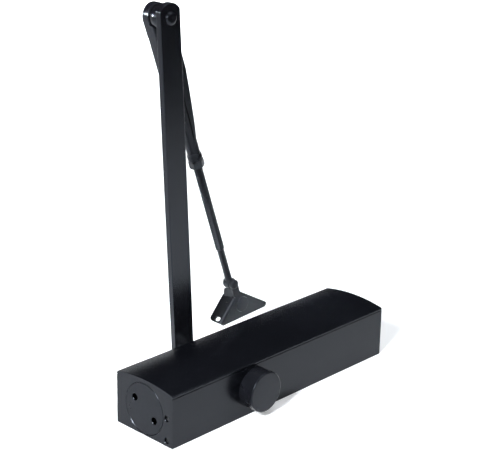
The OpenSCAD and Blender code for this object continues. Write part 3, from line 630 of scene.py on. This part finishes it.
def seamKnife(s):  # thin knife that follows the seam of the fold
    half, loops = s["seamWidth"] / 2, []
    bm = bmesh.new()
    for distance in (s["foldStart"] - 3, s["taperStart"], s["taperEnd"] - 1):
        centre, wide, deep, power = foldRing(s, distance)
        above, below = centre[1] - deep - 3, centre[1] - deep + s["seamDepth"]
        corners = ((-half, above), (half, above), (half, below), (-half, below))
        loops.append([bm.verts.new((x, y, -distance)) for x, y in corners])
    for near, far in zip(loops, loops[1:]):
        for i, k in ((0, 1), (1, 2), (2, 3), (3, 0)):
            bm.faces.new([near[i], near[k], far[k], far[i]])
    bm.faces.new(loops[0][::-1])
    bm.faces.new(loops[-1])
    bmesh.ops.recalc_face_normals(bm, faces=bm.faces)
    scaleToMetres(bm)
    return rawObject("seamKnife", bm)


def buildForearm(s):
    piece = foldBody(s)
    combine(piece, [elbowLug(s)], "UNION")
    start, end, r = s["lugNear"] - s["saddleDepth"], s["lugNear"], s["saddle"]
    saddle = turnedObject("saddle", [(0, start), (r, start), (r, end), (0, end)], "y")
    combine(piece, [saddle], "DIFFERENCE")  # the fold is cut back round the elbow spacer
    combine(piece, [seamKnife(s)], "DIFFERENCE")
    piece.data.transform(turnMatrix(elbow, -linkage["forearmSwing"]))
    finishPiece(piece, "forearm", ["forearm_sleeve"], paints["forearm"], 35)


buildForearm(forearmSizes)

nutSizes = {"flats": 11.0, "top": 124.3, "thickness": 6.2, "bore": 3.6, "boreChamfer": 0.4,
            "chamfer": 0.7}


def buildNut(s):  # a hexagon and a chamfered ring, and what both have in common
    corner = s["flats"] / 2 / math.cos(math.pi / 6)
    c, t, bore, b = s["chamfer"], s["thickness"], s["bore"], s["boreChamfer"]
    bm = bmesh.new()
    thicken(bm, hexFace(bm, corner), (0, 0, t))
    scaleToMetres(bm)
    piece = rawObject("lockNut", bm)
    side, rim = corner - 0.15, corner - c * 1.1
    ring = [(bore + b, 0), (rim, 0), (side, c * 0.7), (side, t - c * 0.7), (rim, t),
            (bore + b, t), (bore, t - b), (bore, b)]
    combine(piece, [turnedObject("nutBlank", ring, "z", steps=60)], "INTERSECT")
    place = Matrix.Translation((0, linkage["rodY"] * mm, (-s["top"] - t) * mm))
    piece.data.transform(turnMatrix(elbow, -linkage["forearmSwing"]) @ place)
    finishPiece(piece, "lock_nut", ["lock_nut"], paints["rod"], 28)


buildNut(nutSizes)

rodSizes = {"inner": 84.0, "shankStart": 210.0, "threadRadius": 3.55, "rootRadius": 3.2,
            "pitch": 1.0, "shankRadius": 2.9, "shankShort": 3.0, "eyeRadius": 4.6, "eyeWidth": 6.2,
            "eyeBore": 2.25, "eyeSoften": 0.6}


def threadedShank(s):
    pitch, root, crest, shank = s["pitch"], s["rootRadius"], s["threadRadius"], s["shankRadius"]
    low = -linkage["forearmReach"] + s["shankShort"]
    profile = [(0, -s["inner"]), (root, -s["inner"])]
    for k in range(int((s["shankStart"] - s["inner"]) / pitch)):
        at = -s["inner"] - k * pitch
        profile += [(crest, at - 0.42 * pitch), (crest, at - 0.58 * pitch), (root, at - pitch)]
    profile += [(shank + 0.1, -s["shankStart"] - 0.4), (shank, -s["shankStart"] - 1.5),
                (shank, low), (0, low)]
    return turnedObject("adjustingRod", profile, "z", (0, linkage["rodY"], 0), 24)


def buildRod(s):
    piece = threadedShank(s)
    centre = (0, linkage["rodY"], -linkage["forearmReach"])
    r, w, b, c = s["eyeRadius"], s["eyeWidth"] / 2, s["eyeBore"], s["eyeSoften"]
    soft = c * 0.3
    eye = [(b, -w), (r - c, -w), (r - soft, -w + soft), (r, -w + c), (r, w - c),
           (r - soft, w - soft), (r - c, w), (b, w)]
    combine(piece, [turnedObject("eye", eye, "y", centre, 48)], "UNION")
    bore = [(0, -w - 1), (b, -w - 1), (b, w + 1), (0, w + 1)]
    combine(piece, [turnedObject("eyeBore", bore, "y", centre, 32)], "DIFFERENCE")
    piece.data.transform(turnMatrix(elbow, -linkage["forearmSwing"]))
    finishPiece(piece, "rod", ["adjusting_rod"], paints["rod"], 50)


buildRod(rodSizes)


shoeSizes = {
    "turn": -48.5, "face": 55.3, "sheet": 2.3, "off": 8.8, "start": 8.2, "length": 25.0,
    "width": 13.6, "reach": 39.3, "skew": 3.3, "tip": 2.4, "corner": 1.0, "ear": 4.0,
    "bend": 2.2, "innerBend": 0.4, "farCorner": 3.4, "nearCorner": 1.2,
    "slotWidth": 3.8, "slotLength": 6.0, "slotInset": 3.2, "slotSide": 6.0,
    "buttonRadius": 3.2, "buttonHeight": 0.7, "lipHeight": 8.2, "lipWidth": 9.8, "lipBend": 41.5,
    "lipRoot": 0.9, "lipCorner": 2.2, "bossRadius": 6.5, "bossHeight": 1.5, "bossDrop": 11.2,
    "soften": 0.35, "pin": 2.2,
}


def tangentHull(circles, steps):  # the band round a few circles, counterclockwise
    points = []
    for i, (x, y, r) in enumerate(circles):
        x0, y0, r0 = circles[i - 1]
        x1, y1, r1 = circles[(i + 1) % len(circles)]
        into, out = Vector((x - x0, y - y0)), Vector((x1 - x, y1 - y))
        turnIn, turnOut = math.asin((r - r0) / into.length), math.asin((r1 - r) / out.length)
        a = math.degrees(math.atan2(into.y, into.x) + turnIn) - 90
        b = math.degrees(math.atan2(out.y, out.x) + turnOut) - 90
        while b < a:
            b += 360
        points += arc(x, y, r, a, b, steps)
    return points


def shoeWeb(s):
    end, off, c = s["start"] + s["length"], s["off"], s["corner"]
    low = -off - s["bend"] - 0.2
    web = tangentHull([(-end + c, low - c, c), (s["skew"], -off - s["reach"] + s["tip"], s["tip"]),
                       (-2.4, low - c + 1.2, c)], 10)
    return slabObject("shoeBracket", web, "xz", s["face"], (0, s["sheet"], 0))


def shoeEar(s):
    start, off = s["start"], s["off"]
    low = -off - s["bend"] - 2.7
    neck = arc(0, 0, s["ear"], -45, 180, 30)
    neck += [(-start, -off + 1.0), (-start - 0.5, low), (-1.6, low), (-1.2, -off - 0.6)]
    return slabObject("ear", neck, "xz", s["face"], (0, s["sheet"], 0))


def shoeStrip(s):  # an L section drawn out along the fold
    y0, t, off, outer, inner = s["face"], s["sheet"], s["off"], s["bend"], s["innerBend"]
    foot = -off - outer - 0.7
    section = [(y0, foot)] + arc(y0 + outer, -off - outer, outer, 180, 90, 8)
    section += [(y0 + s["width"], -off), (y0 + s["width"], -off - t)]
    section += list(reversed(arc(y0 + t + inner, -off - t - inner, inner, 180, 90, 4)))
    section += [(y0 + t, foot)]
    return slabObject("strip", section, "yz", -s["start"] - s["length"], (s["length"], 0, 0))


def shoeBoss(s):
    r, h = s["bossRadius"], s["bossHeight"]
    profile = [(0, -h), (r - 0.9, -h), (r - 0.25, -h + 0.25), (r, -h + 0.8), (r, 0.6), (0, 0.6)]
    centre = (-s["start"] - 0.5, s["face"], -s["off"] - s["bossDrop"])
    return turnedObject("boss", profile, "y", centre, 48)


def shoeButton(s):
    r, h = s["buttonRadius"], s["buttonHeight"]
    centre = (-s["start"] - s["slotInset"], s["face"] + s["slotSide"], -s["off"])
    return turnedObject("button", [(0, -0.5), (r, -0.5), (r, h), (0, h)], "z", centre, 32)


def shoeLip(s):  # bent up beside the eye, rounded at its free corner
    long, wide, c, t = s["lipHeight"], s["lipWidth"], s["lipCorner"], s["sheet"]
    points = [(0, 0), (long, 0)] + arc(long - c, wide - c, c, 0, 90, 8) + [(0, wide)]
    bend = Matrix.Rotation(math.radians(-s["lipBend"]), 3, "Y")
    root = (-s["start"] - s["lipRoot"], s["face"] + t - 0.01, -s["off"] - t)
    bm = bmesh.new()
    thicken(bm, outline(bm, points, "xy", 0), (0, 0, t))
    bmesh.ops.rotate(bm, matrix=bend, verts=bm.verts)
    bmesh.ops.translate(bm, vec=root, verts=bm.verts)
    scaleToMetres(bm)
    return rawObject("lip", bm)


def shoeCutters(s):
    end, y0, t = s["start"] + s["length"], s["face"], s["sheet"]
    under, through = -s["off"] - t - 1, (0, 0, t + 2)
    x, y = -end + s["slotInset"], y0 + s["slotSide"]
    half, run = s["slotWidth"] / 2, s["slotLength"] / 2 - s["slotWidth"] / 2
    stadium = arc(x, y + run, half, 0, 180, 14) + arc(x, y - run, half, 180, 360, 14)
    cutters = [slabObject("slot", stadium, "xy", under, through)]
    for x, way, c in ((-end, 1, s["farCorner"]), (-s["start"], -1, s["nearCorner"])):
        y = y0 + s["width"] - c
        points = [(x - way, y), (x, y)]
        points += arc(x + way * c, y, c, 180 if way > 0 else 0, 90, 10)[1:]
        points += [(x + way * c, y + c + 1), (x - way, y + c + 1)]
        cutters.append(slabObject("corner", points, "xy", under, through))
    pin = [(0, y0 - 1), (s["pin"], y0 - 1), (s["pin"], y0 + t + 1), (0, y0 + t + 1)]
    cutters.append(turnedObject("pinHole", pin, "y", steps=32))
    return cutters


def buildShoe(s):
    piece = shoeWeb(s)
    makers = (shoeStrip, shoeEar, shoeBoss, shoeButton, shoeLip)
    combine(piece, [make(s) for make in makers], "UNION")
    combine(piece, shoeCutters(s), "DIFFERENCE")
    bm = bmesh.new()
    bm.from_mesh(piece.data)
    bmesh.ops.remove_doubles(bm, verts=bm.verts, dist=2e-6)
    bmesh.ops.dissolve_limit(bm, angle_limit=math.radians(1), verts=bm.verts, edges=bm.edges)
    bm.to_mesh(piece.data)
    bm.free()
    piece.data.transform(turnMatrix(foot, s["turn"]))
    edge = piece.modifiers.new("softEdges", "BEVEL")
    edge.width = s["soften"] * mm
    edge.segments = 2
    edge.limit_method = "ANGLE"
    edge.angle_limit = math.radians(40)
    edge.harden_normals = False
    finishPiece(piece, "shoe", ["shoe_bracket"], paints["shoe"], 30)


buildShoe(shoeSizes)

pinSizes = {"radius": 2.2, "face": 55.3, "rim": 0.6, "crown": 0.9, "buttonRadius": 3.8,
            "washerRadius": 3.9, "washer": 1.0, "washerSoften": 0.2, "washerBore": 2.25,
            "head": 65.4, "setHeight": 1.0}


def washerProfile(bore, radius, start, end, soft):
    return [(bore, start), (radius - soft, start), (radius, start + soft), (radius, end - soft),
            (radius - soft, end), (bore, end)]


def buildShoePin(s):
    r, y, far, crown, rim = s["buttonRadius"], s["face"], s["head"], s["crown"], s["rim"]
    shape = [(0, rim + crown), (r * 0.5, rim + crown * 0.96), (r * 0.78, rim + crown * 0.68),
             (r * 0.95, rim + crown * 0.25), (r, rim * 0.7), (r, 0)]
    profile = [(radius, y - height) for radius, height in shape]
    profile += [(s["radius"], y), (s["radius"], far), (r * 0.85, far)]
    profile += [(r * 0.82, far + s["setHeight"] * 0.5), (r * 0.6, far + s["setHeight"]),
                (0, far + s["setHeight"] * 0.8)]
    piece = turnedObject("shoePin", profile, "y", steps=40)
    piece.data.transform(turnMatrix(foot, 0))
    finishPiece(piece, "shoe", ["shoe_pivot_pin"], paints["rod"], 45)
    ring = washerProfile(s["washerBore"], s["washerRadius"], far - s["washer"], far,
                         s["washerSoften"])
    piece = turnedObject("shoeWasher", ring, "y", steps=40, place=turnMatrix(foot, 0))
    finishPiece(piece, "shoe", ["shoe_pivot_washer"], metals["platedSteel"], 32)


buildShoePin(pinSizes)


screwSizes = {"start": 49.8, "washer": 1.0, "washerRadius": 9.0, "washerSoften": 0.2,
              "washerBore": 3.2, "headRadius": 6.2, "headHeight": 2.3, "headEdge": 0.6,
              "domeTurns": (0, 20, 40, 60, 75), "flat": 3.0, "key": 4.6, "thread": 3.0,
              "threadEnd": 36.9}


def buildArmScrew(s):
    y = s["start"] + s["washer"]
    r, h, low = s["headRadius"], s["headHeight"], s["headEdge"]
    turns = [math.radians(a) for a in s["domeTurns"]]
    profile = [(0, s["threadEnd"]), (s["thread"], s["threadEnd"]), (s["thread"], y), (r, y)]
    profile += [(r * math.cos(a), y + low + (h - low) * math.sin(a)) for a in turns]
    profile += [(s["flat"], y + h), (0, y + h)]
    piece = turnedObject("armScrew", profile, "y", steps=48)
    bm = bmesh.new()
    face = hexFace(bm, s["key"] / 2)
    upright = Matrix.Rotation(math.pi / 2, 3, "X")
    bmesh.ops.rotate(bm, cent=(0, 0, 0), matrix=upright, verts=bm.verts)
    bmesh.ops.translate(bm, vec=(0, y + low, 0), verts=bm.verts)
    thicken(bm, face, (0, 4, 0))
    scaleToMetres(bm)
    combine(piece, [rawObject("keySocket", bm)], "DIFFERENCE")
    piece.data.transform(turnMatrix(pinionAxis, 0))
    finishPiece(piece, "arm_and_pinion", ["arm_screw"], metals["platedSteel"], 32)
    ring = washerProfile(s["washerBore"], s["washerRadius"], s["start"], y, s["washerSoften"])
    piece = turnedObject("armWasher", ring, "y", pinionAxis, 64)
    finishPiece(piece, "arm_and_pinion", ["arm_washer"], metals["platedSteel"], 32)


buildArmScrew(screwSizes)

nodeFinish = {  # a node that isn't named here is a rubber seal
    "closer_body": paints["housing"], "front_end_plug": paints["plug"],
    "spring_end_plug": paints["plug"], "pinion_cap": paints["cap"], "main_arm": paints["arm"],
    "elbow_rivet": paints["arm"], "elbow_spacer": paints["elbow"],
    "forearm_sleeve": paints["forearm"], "lock_nut": paints["rod"],
    "adjusting_rod": paints["rod"], "shoe_bracket": paints["shoe"],
    "shoe_pivot_pin": paints["rod"], "shoe_pivot_washer": metals["platedSteel"],
    "arm_washer": metals["platedSteel"], "arm_screw": metals["platedSteel"],
    "closing_valve": metals["valveSteel"], "latching_valve": metals["valveSteel"],
    "rack_piston": metals["machinedIron"], "pinion": metals["machinedSteel"],
    "check_ball": metals["machinedSteel"], "ball_retainer": metals["machinedSteel"],
    "spring_seat": metals["machinedSteel"], "power_screw": metals["machinedSteel"],
    "power_screw_clip": metals["springSteel"], "outer_spring": metals["springSteel"],
    "inner_spring": metals["springSteel"], "arm_side_bearing": metals["bearingBronze"],
    "cap_side_bearing": metals["bearingBronze"], "arm_side_gland": metals["glandSteel"],
    "cap_side_gland": metals["glandSteel"],
}
for nodeName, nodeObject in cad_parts.items():
    for nodeSlot in nodeObject.material_slots:
        nodeSlot.material = nodeFinish.get(nodeName, sealRubber)
print("CAD pieces dressed")

springMotion = {"stroke": 0.0275, "axisHeight": 0.0215, "creaseAngle": 40}


def buildSpring(name, node, m):  # a merged copy of the coil
    bm = bmesh.new()
    bm.from_mesh(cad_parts[node].data)
    bmesh.ops.remove_doubles(bm, verts=bm.verts, dist=1e-6)
    piece = finishPiece(rawObject(name, bm), "housing", [node],
                        metals["springSteel"], m["creaseAngle"])
    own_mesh(piece)


buildSpring("outerSpring", "outer_spring", springMotion)
buildSpring("innerSpring", "inner_spring", springMotion)


studio = {
    "floorSize": 14.0, "floorTone": (0.86, 0.86, 0.87), "floorGlow": 0.27,
    "lampColour": (0.93, 0.97, 1.0), "skyTint": (0.82, 0.9, 1.1),
    "sky": [(0.0, 0.06), (0.10, 0.035), (0.30, 0.018), (0.75, 0.03)],
    "lamps": {  # place, aim, size, watts, spread in degrees
        "overheadLamp": ((0.10, 0.10, 2.2), (0.15, 0.15, 0), (1.3, 1.3), 20, 180),
        "leftBackLamp": ((0.70, 1.75, 2.2), (0.70, 1.75, 0), (1.2, 1.2), 24, 70),
        "rightLamp": ((1.45, 1.00, 2.2), (1.45, 1.00, 0), (1.2, 1.2), 24, 70),
        "frontPoolLamp": ((0.36, -0.55, 0.75), (0.30, -0.25, 0), (0.4, 0.4), 1.6, 180),
        "keyLamp": ((0.55, -1.15, 1.0), (0, 0, 0.1), (0.6, 0.6), 2, 180),
        "glowLamp": ((1.05, 1.95, 0.35), (0, 0, 0.05), (0.8, 0.5), 0.9, 180),
        "elbowLamp": ((-1.50, 1.42, 0.52), (-0.05, 0.05, 0.29), (0.10, 0.16), 0.2, 10),
        "plugLamp": ((-1.70, -0.53, 1.25), (-0.12, 0, 0.03), (0.35, 0.35), 5, 40),
        "capLamp": ((-1.50, 0.52, 0.50), (-0.03, -0.03, 0.02), (0.5, 0.35), 3.2, 180),
        "shoeLamp": ((0.49, -0.54, 0.56), (0.050, 0.055, 0.040), (0.05, 0.05), 0.072, 4.5),
    },
    "flag": {"away": 0.74, "towards": (0.682, -0.731), "turn": 43, "width": 1.4, "height": 0.3,
             "dark": (0.004, 0.004, 0.005), "light": (0.008, 0.008, 0.010)},
}


def buildFloor(s):
    bm = bmesh.new()
    bmesh.ops.create_grid(bm, x_segments=1, y_segments=1, size=s["floorSize"] / 2)
    floor = rawObject("floor", bm)
    mat, tree, shader, coords = newMaterial("floorPaper")
    tone = s["floorTone"]
    fine = noiseNode(tree, coords, 3.0, 2.0)
    tree.links.new(ramp(tree, fine, [(0.3, tuple(c * 0.99 for c in tone)), (0.7, tone)]),
                   shader.inputs["Base Color"])
    shader.inputs["Roughness"].default_value = 0.9
    shader.inputs["Specular IOR Level"].default_value = 0.1
    shader.inputs["Emission Color"].default_value = (1, 1, 1, 1)
    shader.inputs["Emission Strength"].default_value = s["floorGlow"]
    floor.data.materials.append(mat)


def buildFlag(s):  # low dark card that keeps the top of the arm dark, seen only in reflections
    upright = Matrix.Rotation(math.radians(90), 3, "X")
    facing = Matrix.Rotation(math.radians(s["turn"]), 3, "Z")
    x, y = (s["away"] * c for c in s["towards"])
    bm = bmesh.new()
    bmesh.ops.create_grid(bm, x_segments=1, y_segments=1, size=0.5)
    bmesh.ops.scale(bm, vec=(s["width"], s["height"], 1), verts=bm.verts)
    bmesh.ops.rotate(bm, matrix=upright, verts=bm.verts)
    bmesh.ops.rotate(bm, matrix=facing, verts=bm.verts)
    bmesh.ops.translate(bm, vec=(x, y, s["height"] / 2 + 0.001), verts=bm.verts)
    card = rawObject("flagCard", bm)
    mat, tree, shader, coords = newMaterial("flagCloth")
    weave = noiseNode(tree, coords, 400.0, 2.0)
    tree.links.new(ramp(tree, weave, [(0.3, s["dark"]), (0.7, s["light"])]),
                   shader.inputs["Base Color"])
    shader.inputs["Roughness"].default_value = 1.0
    shader.inputs["Specular IOR Level"].default_value = 0.0
    card.data.materials.append(mat)
    card.visible_camera = card.visible_shadow = card.visible_diffuse = False


def softBox(name, place, aim, size, power, colour, beam):
    light = bpy.data.lights.new(name, "AREA")
    light.shape = "RECTANGLE"
    light.size, light.size_y = size
    light.energy = power
    light.color = colour
    light.spread = math.radians(beam)
    lamp = bpy.data.objects.new(name, light)
    bpy.context.scene.collection.objects.link(lamp)
    lamp.location = place
    lamp.rotation_euler = (Vector(aim) - Vector(place)).to_track_quat("-Z", "Y").to_euler()
    lamp.visible_camera = False


def buildSky(s):
    world = bpy.data.worlds.new("studioRoom")
    bpy.context.scene.world = world
    world.use_nodes = True
    tree = world.node_tree
    back = tree.nodes["Background"]
    coords = tree.nodes.new("ShaderNodeTexCoord")
    split = tree.nodes.new("ShaderNodeSeparateXYZ")
    tree.links.new(coords.outputs["Generated"], split.inputs["Vector"])
    stops = [(place, tuple(level * c for c in s["skyTint"])) for place, level in s["sky"]]
    tree.links.new(ramp(tree, split.outputs["Z"], stops), back.inputs["Color"])


buildFloor(studio)
buildFlag(studio["flag"])
buildSky(studio)
for lampName, (place, aim, size, watts, beam) in studio["lamps"].items():
    softBox(lampName, place, aim, size, watts, studio["lampColour"], beam)

cameraData = bpy.data.cameras.new("camera")
cameraData.sensor_width = 36.0
cameraData.lens = 98.254
cameraData.clip_start, cameraData.clip_end = 0.01, 50
camera = bpy.data.objects.new("camera", cameraData)
bpy.context.scene.collection.objects.link(camera)
camera.location = (-0.71576, -0.66525, 0.479735)
camera.rotation_euler = (1.231383, -0.021707, -0.806545)
bpy.context.scene.camera = camera
bpy.context.scene.view_settings.view_transform = "Standard"
print("studio ready")
